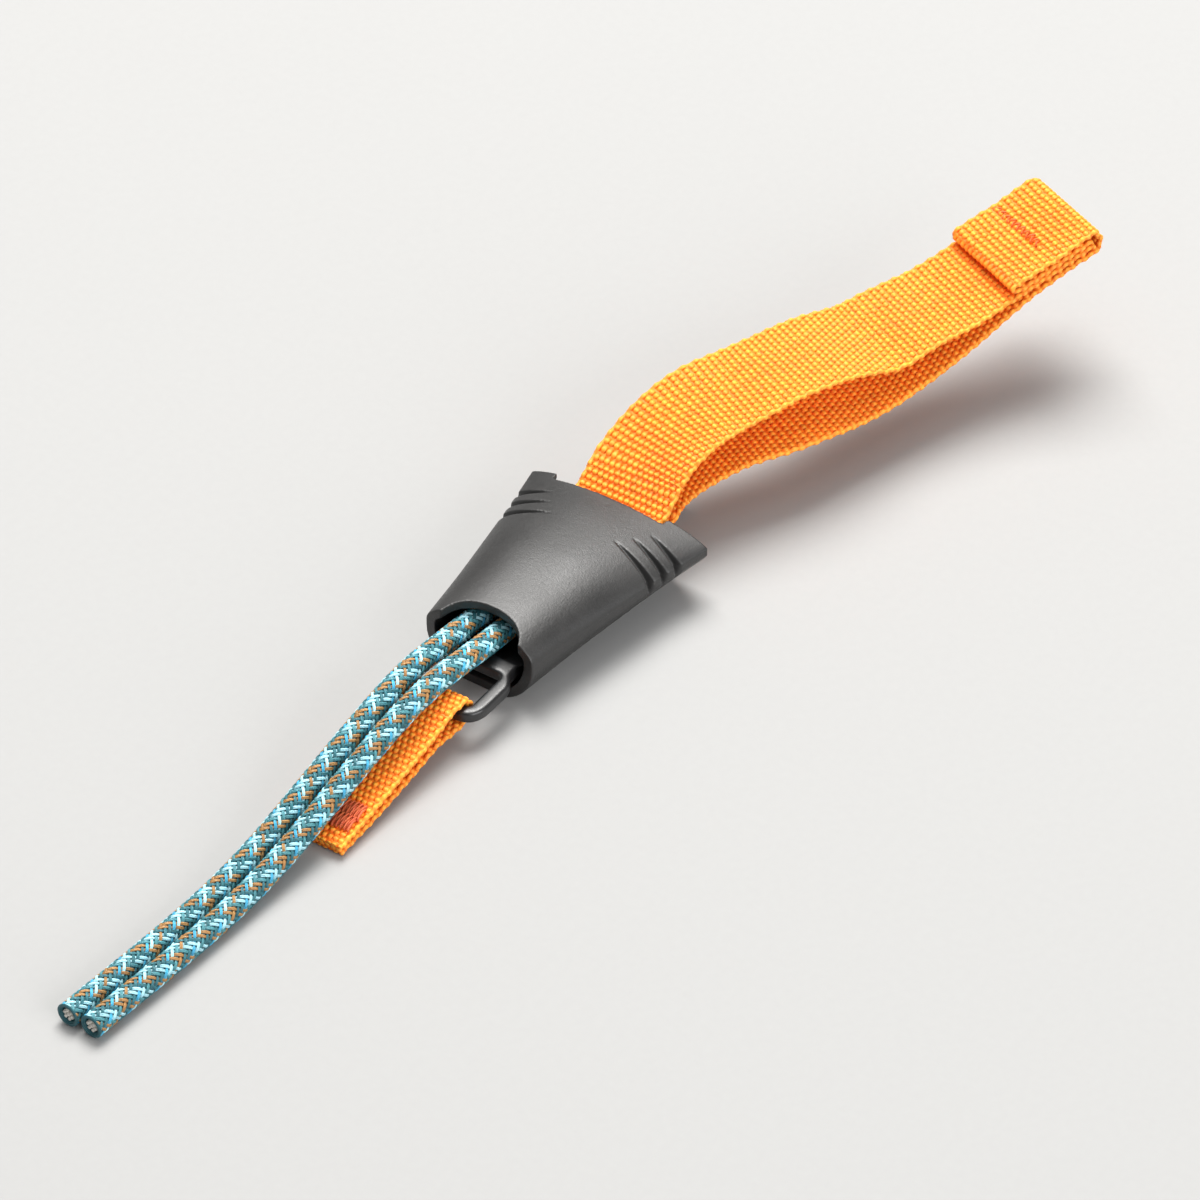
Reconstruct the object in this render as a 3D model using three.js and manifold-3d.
// One-hand drawcord lock with a webbing pull loop, millimetres, +Z up.
// Origin: middle of the housing's flat underside. +X is the wide mouth with
// the pull loop, -X the narrow mouth where the cord tails and the ring leave.
// Left is +Y, right is -Y.
import * as THREE from 'three';
import { mergeVertices } from 'three/addons/utils/BufferGeometryUtils.js';
import Module from 'manifold-3d';

const wasm = await Module();
wasm.setup();

// ---------------------------------------------------------------- dimensions
const X_NARROW = -14.3; // housing ends
const X_WIDE = 13.6;
const Z_EDGE = 6.2; // height of the flank's widest line
const FLANK = { above: 0.25, below: 0.75 }; // blunt band around that line
const CAVITY_FLANK = { above: 0.1, below: 0.3 };
const BOTTOM_H = 7.0; // depth below the flank line, before the underside is cut flat
const WALL = 1.15;
// Housing stations: x, then the value there.
const HALF_WIDTHS = [[X_NARROW, 7.25], [-7, 8.3], [0, 9.5], [7, 10.75], [X_WIDE, 12.1]];
const TOP_HEIGHTS = [[X_NARROW, 3.35], [-7, 3.65], [0, 3.65], [7, 3.15], [X_WIDE, 2.42]];
const UPPER_POWERS = [[X_NARROW, 0.52], [X_WIDE, 0.82]]; // exponents of the section's
const LOWER_POWERS = [[X_NARROW, 0.55], [X_WIDE, 0.9]]; // fall-off towards the flank
// Share of the wall taken off each side of the cavity; the "wide" shares
// are added gradually between the two x values.
const INSET = {
  side: 1.1, sideWide: 0.35, top: 1, topWide: -0.32, bottom: 0.8, wideFrom: 4, wideTo: 13,
};

const CORD_R = 1.5; // sheath outside
const CORD_BORE_R = 1.0; // sheath inside
const CORD_CORE_R = 0.85;
const CORD_FIT_R = CORD_R * 1.01; // cord radius the lock's parts are fitted to
const CORD_Y = { left: 3.05, right: -0.7 }; // inside the housing
const CORD_Z0 = 6.4; // height at the narrow mouth
const CORD_SLOPE = 0.128; // drop per mm of +X
const CORD_STUB_X = 24.6; // cut end on the bag side

const CORE = { x0: -14.0, x1: 0.9, z0: 1.3, half: 4.7 };
const RING = {
  x0: -13.2, x1: -23.7, half: 5.9, z0: 3.15, z1: 4.75, arm: 1.8, bar: 1.75,
  neckX: -14.6, neckHalf: 4.75, shoulderX: -17.4, corner: 3.2, cornerY: 2.8, bevel: 0.42,
};
const BAR = { x: 11.2, z: 6.15, w: 2.0, h: 0.8, corner: 0.38, reach: 13 };

// ------------------------------------------------------------------- helpers
const vec = (x, y, z) => new THREE.Vector3(x, y, z);

// Welded geometry with positions only.
function weld(geometry) {
  geometry.deleteAttribute('normal');
  geometry.deleteAttribute('uv');
  return mergeVertices(geometry, 1e-4);
}

function solid(geometry) {
  const welded = weld(geometry);
  return new wasm.Manifold(new wasm.Mesh({
    numProp: 3,
    vertProperties: new Float32Array(welded.attributes.position.array),
    triVerts: new Uint32Array(welded.index.array),
  }));
}

function geometryOf(manifold) {
  const mesh = manifold.getMesh();
  const geometry = new THREE.BufferGeometry();
  const positions = new Float32Array(mesh.vertProperties);
  geometry.setAttribute('position', new THREE.BufferAttribute(positions, 3));
  geometry.setIndex(new THREE.BufferAttribute(new Uint32Array(mesh.triVerts), 1));
  const merged = mergeVertices(geometry, 1e-3);
  merged.computeVertexNormals();
  return merged;
}

const mirrorY = (part) => part.mirror([0, 1, 0]);

// Linear interpolation in rows of [x, value], held constant beyond the ends.
function lookUp(rows, x) {
  if (x <= rows[0][0]) return rows[0][1];
  for (let i = 1; i < rows.length; i++) {
    const [x0, value0] = rows[i - 1];
    const [x1, value1] = rows[i];
    if (x <= x1) return value0 + ((x - x0) / (x1 - x0)) * (value1 - value0);
  }
  return rows[rows.length - 1][1];
}

// The same rows smoothed through a Catmull-Rom curve.
function smoothLookUp(rows) {
  const curve = new THREE.SplineCurve(rows.map(([x, value]) => new THREE.Vector2(x, value)));
  const fineRows = curve.getPoints(60).map((point) => [point.x, point.y]);
  return (x) => lookUp(fineRows, x);
}

function signedVolume(points, triangles) {
  let sum = 0;
  for (let i = 0; i < triangles.length; i += 3) {
    const [a, b, c] = triangles.slice(i, i + 3).map((index) => points[index]);
    sum += a.dot(b.clone().cross(c)) / 6;
  }
  return sum;
}

// Closed solid through rings with equal point counts, with flat ends.
function loft(rings) {
  const count = rings[0].length;
  const points = rings.flat();
  const triangles = [];
  for (let i = 0; i < rings.length - 1; i++) {
    const near = i * count;
    const far = near + count;
    for (let j = 0; j < count; j++) {
      const k = (j + 1) % count;
      triangles.push(near + j, far + j, far + k, near + j, far + k, near + k);
    }
  }
  const addCap = (ringIndex, flip) => {
    const base = ringIndex * count;
    const total = rings[ringIndex].reduce((sum, point) => sum.add(point), vec(0, 0, 0));
    const centre = points.push(total.multiplyScalar(1 / count)) - 1;
    for (let j = 0; j < count; j++) {
      const k = (j + 1) % count;
      if (flip) triangles.push(centre, base + k, base + j);
      else triangles.push(centre, base + j, base + k);
    }
  };
  addCap(0, false);
  addCap(rings.length - 1, true);
  // Rings may run either way round; turn the faces outwards.
  if (signedVolume(points, triangles) < 0) {
    for (let i = 0; i < triangles.length; i += 3) {
      [triangles[i + 1], triangles[i + 2]] = [triangles[i + 2], triangles[i + 1]];
    }
  }
  return new THREE.BufferGeometry().setFromPoints(points).setIndex(triangles);
}

const polygon = (rows) => new THREE.Shape(rows.map(([a, b]) => new THREE.Vector2(a, b)));

function extrude(shape, depth, curveSegments) {
  return new THREE.ExtrudeGeometry(shape, { depth, bevelEnabled: false, curveSegments });
}

// Prism along X from a (y, z) shape.
function prismX(shape, x0, x1) {
  const axes = new THREE.Matrix4().makeBasis(vec(0, 1, 0), vec(0, 0, 1), vec(1, 0, 0));
  return extrude(shape, x1 - x0, 10).applyMatrix4(axes).translate(x0, 0, 0);
}

// Prism along Y from an (x, z) shape, centred on y = 0.
function prismY(shape, half) {
  return extrude(shape, 2 * half, 10).rotateX(Math.PI / 2).translate(0, half, 0);
}

// Prism along Z from an (x, y) shape.
function prismZ(shape, z0, z1) {
  return extrude(shape, z1 - z0, 12).translate(0, 0, z0);
}

function sweep(shape, extrudePath, steps, curveSegments) {
  const options = { steps, curveSegments, bevelEnabled: false, extrudePath };
  return new THREE.ExtrudeGeometry(shape, options);
}

function box(x0, x1, y0, y1, z0, z1) {
  return new THREE.BoxGeometry(x1 - x0, y1 - y0, z1 - z0)
    .translate((x0 + x1) / 2, (y0 + y1) / 2, (z0 + z1) / 2);
}

function roundedRect(centreX, centreY, w, h, r) {
  const x = centreX - w / 2;
  const y = centreY - h / 2;
  const quarter = Math.PI / 2;
  const shape = new THREE.Shape();
  shape.moveTo(x + r, y);
  shape.lineTo(x + w - r, y);
  shape.absarc(x + w - r, y + r, r, -quarter, 0);
  shape.lineTo(x + w, y + h - r);
  shape.absarc(x + w - r, y + h - r, r, 0, quarter);
  shape.lineTo(x + r, y + h);
  shape.absarc(x + r, y + h - r, r, quarter, 2 * quarter);
  shape.lineTo(x, y + r);
  shape.absarc(x + r, y + r, r, 2 * quarter, 3 * quarter);
  return shape;
}

// ------------------------------------------------------------- housing shell
const halfWidth = smoothLookUp(HALF_WIDTHS);
const topHeight = smoothLookUp(TOP_HEIGHTS);
const cordZ = (x) => CORD_Z0 - CORD_SLOPE * (x - X_NARROW);

// 1 on the centre line, 0 at the flank (across = -1 or 1).
function fallOff(across, power) {
  const inside = 1 - Math.pow(Math.min(1, Math.abs(across)), 2.2);
  return Math.pow(Math.max(0, inside), power);
}

function roofZ(x, across, top, flankAbove) {
  return Z_EDGE + flankAbove + (top - flankAbove) * fallOff(across, lookUp(UPPER_POWERS, x));
}

// One oval section: over the roof from left to right, then back along a
// belly that is cut flat at the floor.
function section(x, half, top, bottom, floor, flank) {
  const steps = 21;
  const roof = [];
  const belly = [];
  for (let i = 0; i <= steps; i++) {
    const across = Math.cos((Math.PI * i) / steps);
    const drop = (bottom - flank.below) * fallOff(across, lookUp(LOWER_POWERS, x));
    roof.push(vec(x, half * across, roofZ(x, across, top, flank.above)));
    belly.push(vec(x, half * across, Math.max(floor, Z_EDGE - flank.below - drop)));
  }
  return [...roof, ...belly.reverse()];
}

function shell({ x0, x1, inset, steps, flank }) {
  const rings = [];
  for (let i = 0; i <= steps; i++) {
    const x = x0 + ((x1 - x0) * i) / steps;
    const wide = THREE.MathUtils.smoothstep(x, INSET.wideFrom, INSET.wideTo);
    const half = halfWidth(x) - inset * (INSET.side + INSET.sideWide * wide);
    const top = topHeight(x) - inset * (INSET.top + INSET.topWide * wide);
    rings.push(section(x, half, top, BOTTOM_H - inset * INSET.bottom, inset, flank));
  }
  return solid(loft(rings));
}

// ----------------------------------------------------------- housing details
// Block under the roof that the cords are pinched against, grooved across.
function pinchBlock() {
  const x0 = -8.6;
  const x1 = 2.0;
  const top = 9.9;
  const groove = { x0: -8.0, pitch: 1.5, depth: 0.28, last: 6 };
  const overCord = (x) => cordZ(x) + CORD_FIT_R + 0.12;
  const profile = [[x0, top], [x0, overCord(x0) + 0.5]];
  for (let i = 0; i <= groove.last; i++) {
    const x = groove.x0 + groove.pitch * i;
    const middle = x + groove.pitch / 2;
    profile.push([x, overCord(x)], [middle, overCord(middle) + groove.depth]);
  }
  profile.push([x1, overCord(x1) + 0.7], [x1, top]);
  return solid(prismY(polygon(profile), 4.75));
}

// Shoulder for the spring inside the left flank.
const springShoulder = () => solid(box(-9.2, -8.15, 4.95, 7.9, 4.7, 7.5));

// Cross bar for the pull loop.
function crossBar() {
  return solid(prismY(roundedRect(BAR.x, BAR.z, BAR.w, BAR.h, BAR.corner), BAR.reach));
}

const CUT_TOP = 13; // above the roof

// Arc notch over the cord exit, with round shoulders.
function exitNotch() {
  const half = 5.2;
  const depth = 2.8;
  const shoulder = 1.0;
  const clearX = X_NARROW - 2;
  const lipX = X_NARROW - 0.02;
  const deepX = X_NARROW + depth;
  const bendX = X_NARROW + depth * 0.8;
  const shape = new THREE.Shape();
  shape.moveTo(clearX, -half - shoulder);
  shape.lineTo(lipX, -half - shoulder);
  shape.quadraticCurveTo(X_NARROW + 0.05, -half, X_NARROW + 0.5, -half + 0.15);
  shape.bezierCurveTo(bendX, -half + shoulder, deepX, -2.4, deepX, 0);
  shape.bezierCurveTo(deepX, 2.4, bendX, half - shoulder, X_NARROW + 0.5, half - 0.15);
  shape.quadraticCurveTo(X_NARROW + 0.05, half, lipX, half + shoulder);
  shape.lineTo(clearX, half + shoulder);
  return solid(prismZ(shape, Z_EDGE + 0.2, CUT_TOP));
}

// Recess in the wide rim where the webbing comes out.
function webbingRecess() {
  const y0 = -6.7;
  const y1 = 8.6;
  const deepX = X_WIDE - 1.15;
  const clearX = X_WIDE + 2;
  const outline = [
    [deepX, y0 + 0.5], [deepX + 0.2, y0 + 0.15], [clearX, y0 - 0.1],
    [clearX, y1 + 0.3], [deepX + 0.25, y1 - 0.1], [deepX, y1 - 0.7],
  ];
  return solid(prismZ(polygon(outline), Z_EDGE + 0.35, CUT_TOP));
}

// Open slot in the floor of the wide mouth, so the cords leave low.
const floorSlot = () => solid(box(7.6, X_WIDE + 1, -4.4, 6.6, -1, 4.6));

// Grip cuts on the left: x and the y where each one starts.
const GRIPS = [{ x: 6.15, y: 4.3 }, { x: 8.05, y: 5.6 }, { x: 9.95, y: 6.8 }];
const GRIP = { width: 0.8, depth: 0.85, lean: 0.25, steps: 12 };

// One cut across the roof, deepest at the flank edge, leaning a little.
function gripCut({ x, y: startY }) {
  const edgeY = halfWidth(x);
  const bottomZ = Z_EDGE - 2.3;
  const inner = [];
  const outer = [];
  for (let i = 0; i <= GRIP.steps; i++) {
    const t = i / GRIP.steps;
    const y = startY + (edgeY - startY) * Math.sin((Math.PI / 2) * t);
    const z = roofZ(x, y / edgeY, topHeight(x), FLANK.above);
    const depth = GRIP.depth * Math.pow(t, 0.7) - 0.02;
    inner.push([y - depth * 0.75, z - depth * 0.75]);
    outer.push([y + 1.6 * t + 0.3, z + 1.6]);
  }
  inner.push([edgeY - GRIP.depth * 0.9, Z_EDGE - 1.1], [edgeY - 0.25, bottomZ]);
  outer.push([edgeY + 2, bottomZ]);
  const cut = prismX(polygon([...inner, ...outer.reverse()]), -GRIP.width / 2, GRIP.width / 2);
  return solid(cut.translate(0, -startY, 0).rotateZ(GRIP.lean).translate(x, startY, 0));
}

function buildHousing() {
  const outer = shell({ x0: X_NARROW, x1: X_WIDE, inset: 0, steps: 18, flank: FLANK });
  const cavity = shell({
    x0: X_NARROW - 1.5, x1: X_WIDE + 1.5, inset: WALL, steps: 10, flank: CAVITY_FLANK,
  });
  let housing = outer.subtract(cavity);
  const shoulder = springShoulder();
  for (const part of [pinchBlock(), shoulder, mirrorY(shoulder), crossBar()]) {
    housing = housing.add(part.intersect(outer));
  }
  const grips = GRIPS.map(gripCut);
  const cuts = [exitNotch(), webbingRecess(), floorSlot(), ...grips, ...grips.map(mirrorY)];
  for (const cut of cuts) housing = housing.subtract(cut);
  return housing;
}

// ---------------------------------------------------------------------- core
const TOOTH = { pitch: 1.5, depth: 0.6, count: 6, gap: 0.15, crest: 0.08 };
// Cross-section of the sliding core, y and z.
const CORE_SECTION = [
  [-3.1, 1.2], [3.1, 1.2], [4.1, 2.1], [CORE.half, 3.2], [CORE.half, 6],
  [-CORE.half, 6], [-CORE.half, 3.2], [-4.1, 2.1],
];
// Left ear, y and z.
const EAR_SECTION = [
  [3.6, 2.3], [4.6, 2.9], [5.6, 4.0], [6.9, 5.2], [6.9, 6.9], [5.0, 6.9], [5.0, 4.3], [3.7, 2.75],
];
const EAR_X = [-1.0, 0.6];

// Toothed slab below the cords, trimmed to the core's cross-section.
function coreSlab() {
  const underCord = (x) => cordZ(x) - CORD_FIT_R - TOOTH.gap;
  const firstX = CORE.x1 - 0.3;
  const lastX = firstX - TOOTH.pitch * TOOTH.count;
  const profile = [
    [CORE.x0, CORE.z0 + 0.8], [RING.x0, CORE.z0],
    [CORE.x1 - 0.5, CORE.z0], [CORE.x1, CORE.z0 + 0.6],
  ];
  for (let i = 0; i < TOOTH.count; i++) {
    const rootX = firstX - TOOTH.pitch * i;
    const tipX = rootX - TOOTH.pitch + TOOTH.crest;
    profile.push([rootX, underCord(rootX) - TOOTH.depth], [tipX, underCord(tipX)]);
  }
  profile.push([lastX - 0.1, underCord(lastX) - TOOTH.depth]);
  profile.push([-12.2, underCord(-12.2) - 0.45], [CORE.x0, 4.7]);
  return solid(prismY(polygon(profile), CORE.half))
    .intersect(solid(prismX(polygon(CORE_SECTION), -15, 2)));
}

function ringWindow() {
  const half = RING.half - RING.arm;
  const nearX = -15.6;
  const nearCorner = 0.8;
  const farX = RING.x1 + RING.bar;
  const farCorner = 0.3;
  const hole = new THREE.Path();
  hole.moveTo(nearX, -half + nearCorner);
  hole.quadraticCurveTo(nearX, -half, nearX - nearCorner, -half);
  hole.lineTo(farX + farCorner, -half);
  hole.quadraticCurveTo(farX, -half, farX, -half + farCorner);
  hole.lineTo(farX, half - farCorner);
  hole.quadraticCurveTo(farX, half, farX + farCorner, half);
  hole.lineTo(nearX - nearCorner, half);
  hole.quadraticCurveTo(nearX, half, nearX, half - nearCorner);
  hole.lineTo(nearX, -half + nearCorner);
  return hole;
}

// Ring outside the narrow mouth.
function ring() {
  const { x0, x1, half, z0, z1, neckX, neckHalf, shoulderX, corner, cornerY, bevel } = RING;
  const shape = new THREE.Shape();
  shape.moveTo(x0, -CORE.half);
  shape.lineTo(x0, CORE.half);
  shape.lineTo(neckX, neckHalf);
  shape.bezierCurveTo(-15.6, 4.8, -16.0, half, shoulderX, half);
  shape.lineTo(x1 + corner, half);
  shape.quadraticCurveTo(x1, half, x1, half - cornerY);
  shape.lineTo(x1, -half + cornerY);
  shape.quadraticCurveTo(x1, -half, x1 + corner, -half);
  shape.lineTo(shoulderX, -half);
  shape.bezierCurveTo(-16.0, -half, -15.6, -4.8, neckX, -neckHalf);
  shape.lineTo(x0, -CORE.half);
  shape.holes.push(ringWindow());
  const geometry = new THREE.ExtrudeGeometry(shape, {
    depth: z1 - z0 - 2 * bevel,
    bevelEnabled: true,
    bevelThickness: bevel,
    bevelSize: bevel,
    bevelOffset: -bevel,
    bevelSegments: 3,
    curveSegments: 8,
  });
  return solid(geometry.translate(0, 0, z0 + bevel));
}

function buildCore() {
  // The springs push on the ears.
  const ear = solid(prismX(polygon(EAR_SECTION), ...EAR_X));
  return coreSlab().add(ear).add(mirrorY(ear)).add(ring());
}

// ------------------------------------------------------------------- springs
const SPRING = { y: 5.9, z: 6.05, r: 0.8, wire: 0.18, x0: -8.0, x1: -1.25, turns: 6.5 };
// Share of the turns and share of the length reached: the end coils lie closer.
const SPRING_TRAVEL = [[0, 0], [0.12, 0.054], [0.88, 0.946], [1, 1]];

class Helix extends THREE.Curve {
  constructor(side) {
    super();
    this.side = side;
  }

  getPoint(t, target = vec(0, 0, 0)) {
    const { x0, x1, turns, r, y, z, } = SPRING;
    const endGap = 0.2;
    const angle = 2 * Math.PI * turns * t;
    return target.set(
      x0 + endGap + (x1 - x0 - 2 * endGap) * lookUp(SPRING_TRAVEL, t),
      this.side * y + r * Math.cos(angle),
      z + r * Math.sin(angle),
    );
  }
}

// side is 1 for left, -1 for right.
function buildSpring(side) {
  const wire = new THREE.Shape();
  wire.absarc(0, 0, SPRING.wire, 0, 2 * Math.PI);
  return weld(sweep(wire, new Helix(side), 60, 3));
}

// ------------------------------------------------------------------- ribbons
// Tape cross-section: shares of the half width and half thickness.
const TAPE_SECTION = [
  [-1, -0.5], [-0.96, -1], [0.96, -1], [1, -0.5], [1, 0.5], [0.96, 1], [-0.96, 1], [-1, 0.5],
];

// Flat tape through rows of [x, y, z]. rolls has rows of [share of the
// length, twist in radians].
function ribbon(rows, { w, t, steps, rolls = [[0, 0]] }) {
  const points = rows.map((row) => vec(...row));
  const curve = new THREE.CatmullRomCurve3(points, false, 'centripetal');
  const rings = [];
  for (let i = 0; i <= steps; i++) {
    const along = i / steps;
    const centre = curve.getPointAt(along);
    const tangent = curve.getTangentAt(along);
    const roll = lookUp(rolls, along);
    let across = vec(-tangent.y, tangent.x, 0);
    // Where the tape runs steeply, its width is taken along Y.
    if (Math.abs(tangent.z) > 0.9 || across.length() < 0.3) across = vec(0, 1, 0);
    across.addScaledVector(tangent, -across.dot(tangent)).normalize();
    if (across.y < 0) across.negate();
    const normal = tangent.clone().cross(across).normalize();
    across.applyAxisAngle(tangent, roll);
    normal.applyAxisAngle(tangent, roll);
    rings.push(TAPE_SECTION.map(([a, b]) => centre.clone()
      .addScaledVector(across, (a * w) / 2)
      .addScaledVector(normal, (b * t) / 2)));
  }
  return loft(rings);
}

const joinRibbons = (parts) => parts
  .map(([rows, options]) => solid(ribbon(rows, options)))
  .reduce((joined, part) => joined.add(part));

// ---------------------------------------------------------------- pull strap
const WEB = { w: 12.0, t: 0.8, y: -0.2 };
const LOOP_X = 15.6; // where the loop's two runs begin
const END_ROLL = [[0, 0.04]];

// Short length of webbing folded round the cross bar.
function buildStrapFold() {
  const endX = 14.6;
  const offset = BAR.h / 2 + 0.06 + WEB.t / 2;
  const topZ = BAR.z + offset;
  const lowZ = BAR.z - offset;
  // x, z
  const path = [
    [endX, 8.2], [13.4, 7.45], [12.3, topZ + 0.03], [BAR.x, topZ], [10.2, topZ - 0.08],
    [9.62, BAR.z + 0.45], [9.5, BAR.z], [9.62, BAR.z - 0.45],
    [10.2, lowZ + 0.08], [BAR.x, lowZ], [12.4, lowZ + 0.02], [13.4, 5.42], [endX, 5.85],
  ];
  const rows = path.map(([x, z]) => [x, WEB.y, z]);
  return weld(ribbon(rows, { w: WEB.w, t: WEB.t, steps: 30 }));
}

// Centre lines of the loop's parts, x, y, z.
const LOOP_UPPER = [
  [LOOP_X, WEB.y, 8.95], [17.6, WEB.y, 10.25], [22.0, -0.9, 12.5],
  [27.0, -2.3, 13.9], [36.0, -5.8, 14.6], [46.6, -9.4, 13.3],
  [58.8, -13.4, 12.6], [66.7, -16.4, 14.4], [76.2, -20.0, 16.9],
];
const LOOP_LOWER = [
  [76.4, -20.1, 15.9], [66.9, -16.6, 13.2], [60.0, -14.3, 10.4], [52.0, -12.0, 8.6],
  [44.0, -9.8, 8.2], [36.0, -7.4, 8.6], [27.0, -3.0, 8.6], [21.0, -0.8, 7.9],
  [17.8, WEB.y, 7.05], [LOOP_X, WEB.y, 6.2],
];
const LOOP_HEM = [[65.6, -16.0, 15.2], [71.0, -18.1, 16.55], [76.6, -20.15, 17.95]];
const LOOP_END = [[74.8, -19.5, 16.2], [77.3, -20.4, 17.0]];
const STRAP_TACK = [[70.8, -16.75, 17.6], [71.9, -17.15, 17.9]];

function buildStrapLoop() {
  const { w, t } = WEB;
  return joinRibbons([
    [LOOP_UPPER, { w, t, steps: 28, rolls: [[0, 0], [0.35, 0.1], [1, 0.04]] }],
    [LOOP_LOWER, { w, t, steps: 28, rolls: [[0, 0.04], [0.6, 0.06], [1, 0]] }],
    [LOOP_HEM, { w, t: 1.7, steps: 6, rolls: END_ROLL }],
    [LOOP_END, { w, t: 3.2, steps: 2, rolls: END_ROLL }],
  ]);
}

function buildStrapTack() {
  return weld(ribbon(STRAP_TACK, { w: 8, t: 0.3, steps: 2, rolls: END_ROLL }));
}

// ---------------------------------------------------------------- anchor tab
const TAB = { w: 7.8, t: 0.8 };
const TAB_END = [[-46.3, 0, 0.92], [-38.6, 0, 1.75]];
const TAB_TACK = [[-43.9, 0, 2.22], [-40.2, 0, 2.72]];

// Tape folded round the ring's outer bar, with a thicker joined end.
function buildAnchorTab() {
  const barX = RING.x1 + RING.bar / 2;
  const barZ = (RING.z0 + RING.z1) / 2;
  const bendR = 1.1 + TAB.t / 2;
  const bendSteps = 6;
  // x, z
  const path = [
    [-46.2, 1.35], [-40, 2.15], [-33, 3.45], [-27.5, 4.6], [-24.8, barZ + bendR - 0.02],
  ];
  for (let i = 0; i <= bendSteps; i++) {
    const angle = Math.PI / 2 - (Math.PI * i) / bendSteps;
    path.push([barX + 0.06 + bendR * Math.cos(angle), barZ + bendR * Math.sin(angle)]);
  }
  path.push([-24.8, barZ - bendR + 0.02], [-27.5, 2.75], [-33, 1.85], [-40, 0.95], [-46.0, 0.5]);
  return joinRibbons([
    [path.map(([x, z]) => [x, 0, z]), { ...TAB, steps: 40 }],
    [TAB_END, { w: TAB.w, t: 1.2, steps: 3 }],
  ]);
}

const buildAnchorTack = () => weld(ribbon(TAB_TACK, { w: 6.4, t: 0.3, steps: 2 }));

// --------------------------------------------------------------------- cords
const CORD_HOUSING_X = [CORD_STUB_X, 18, 12, 6, 0, -6, -10, X_NARROW];
// Cord tails outside the narrow mouth, x and z.
const CORD_TAIL = [
  [-22, 7.42], [-26, 7.5], [-30, 7.15], [-38, 5.75], [-46, 4.0],
  [-52, 2.75], [-58, 1.9], [-64, 1.58], [-72, 1.53], [-84, 1.53],
];
const TAIL_HALF_GAP = 1.56; // from each tail to the line between them, far out
const CORE_TRIM = 0.004; // share of the cord's length the core is short at each end

// side is 1 for left, -1 for right.
function cordCurve(side) {
  const y = side > 0 ? CORD_Y.left : CORD_Y.right;
  const middleY = (CORD_Y.left + CORD_Y.right) / 2;
  const halfGap = (CORD_Y.left - CORD_Y.right) / 2;
  const points = CORD_HOUSING_X.map((x) => vec(x, y, cordZ(x)));
  for (const [x, z] of CORD_TAIL) {
    const closing = THREE.MathUtils.smoothstep(-x, 15, 34);
    const spread = side * (halfGap * (1 - closing) + TAIL_HALF_GAP * closing);
    const drift = Math.max(0, -x - 40) / 44; // both tails curve to the left
    points.push(vec(x, middleY + spread + 2.0 * drift * drift, z));
  }
  return new THREE.CatmullRomCurve3(points, false, 'centripetal');
}

function circle(radius) {
  const shape = new THREE.Shape();
  shape.absarc(0, 0, radius, 0, 2 * Math.PI);
  return shape;
}

const sweepCord = (shape, curve) => weld(sweep(shape, curve, 36, 5));

function buildSheath(side) {
  const shape = circle(CORD_R);
  const bore = new THREE.Path();
  bore.absarc(0, 0, CORD_BORE_R, 0, 2 * Math.PI, true);
  shape.holes.push(bore);
  return sweepCord(shape, cordCurve(side));
}

function buildCordCore(side) {
  const full = cordCurve(side);
  const count = 40;
  const points = Array.from({ length: count }, (_, i) => (
    full.getPointAt(CORE_TRIM + ((1 - 2 * CORE_TRIM) * i) / (count - 1))));
  const trimmed = new THREE.CatmullRomCurve3(points, false, 'centripetal');
  return sweepCord(circle(CORD_CORE_R), trimmed);
}

// ----------------------------------------------------------------- materials
const FINISHES = {
  housing: { color: 0x2b2a29, roughness: 0.55 },
  core: { color: 0x161616, roughness: 0.3 },
  steel: { color: 0xb8b8b8, roughness: 0.3, metalness: 1 },
  webbing: { color: 0xf28a10, roughness: 0.85 },
  strapTack: { color: 0xd0582c, roughness: 0.9 },
  anchorTack: { color: 0xc8502a, roughness: 0.9 },
  sheath: { color: 0x2f7d8c, roughness: 0.8 },
  cordCore: { color: 0xe8e6df, roughness: 0.9 },
};

// ------------------------------------------------------------------ assembly
const group = new THREE.Group();

function add(name, geometry, finish) {
  const mesh = new THREE.Mesh(geometry, new THREE.MeshStandardMaterial(finish));
  mesh.name = name;
  group.add(mesh);
}

const SIDES = [['left', 1], ['right', -1]];

add('housing', geometryOf(buildHousing()), FINISHES.housing);
add('core', geometryOf(buildCore()), FINISHES.core);
for (const [name, side] of SIDES) add(`spring_${name}`, buildSpring(side), FINISHES.steel);
add('pull_strap_fold', buildStrapFold(), FINISHES.webbing);
add('pull_strap', geometryOf(buildStrapLoop()), FINISHES.webbing);
add('pull_strap_bartack', buildStrapTack(), FINISHES.strapTack);
add('anchor_tab', geometryOf(buildAnchorTab()), FINISHES.webbing);
add('anchor_bartack', buildAnchorTack(), FINISHES.anchorTack);
for (const [name, side] of SIDES) {
  add(`cord_${name}_sheath`, buildSheath(side), FINISHES.sheath);
  add(`cord_${name}_core`, buildCordCore(side), FINISHES.cordCore);
}

export default group;
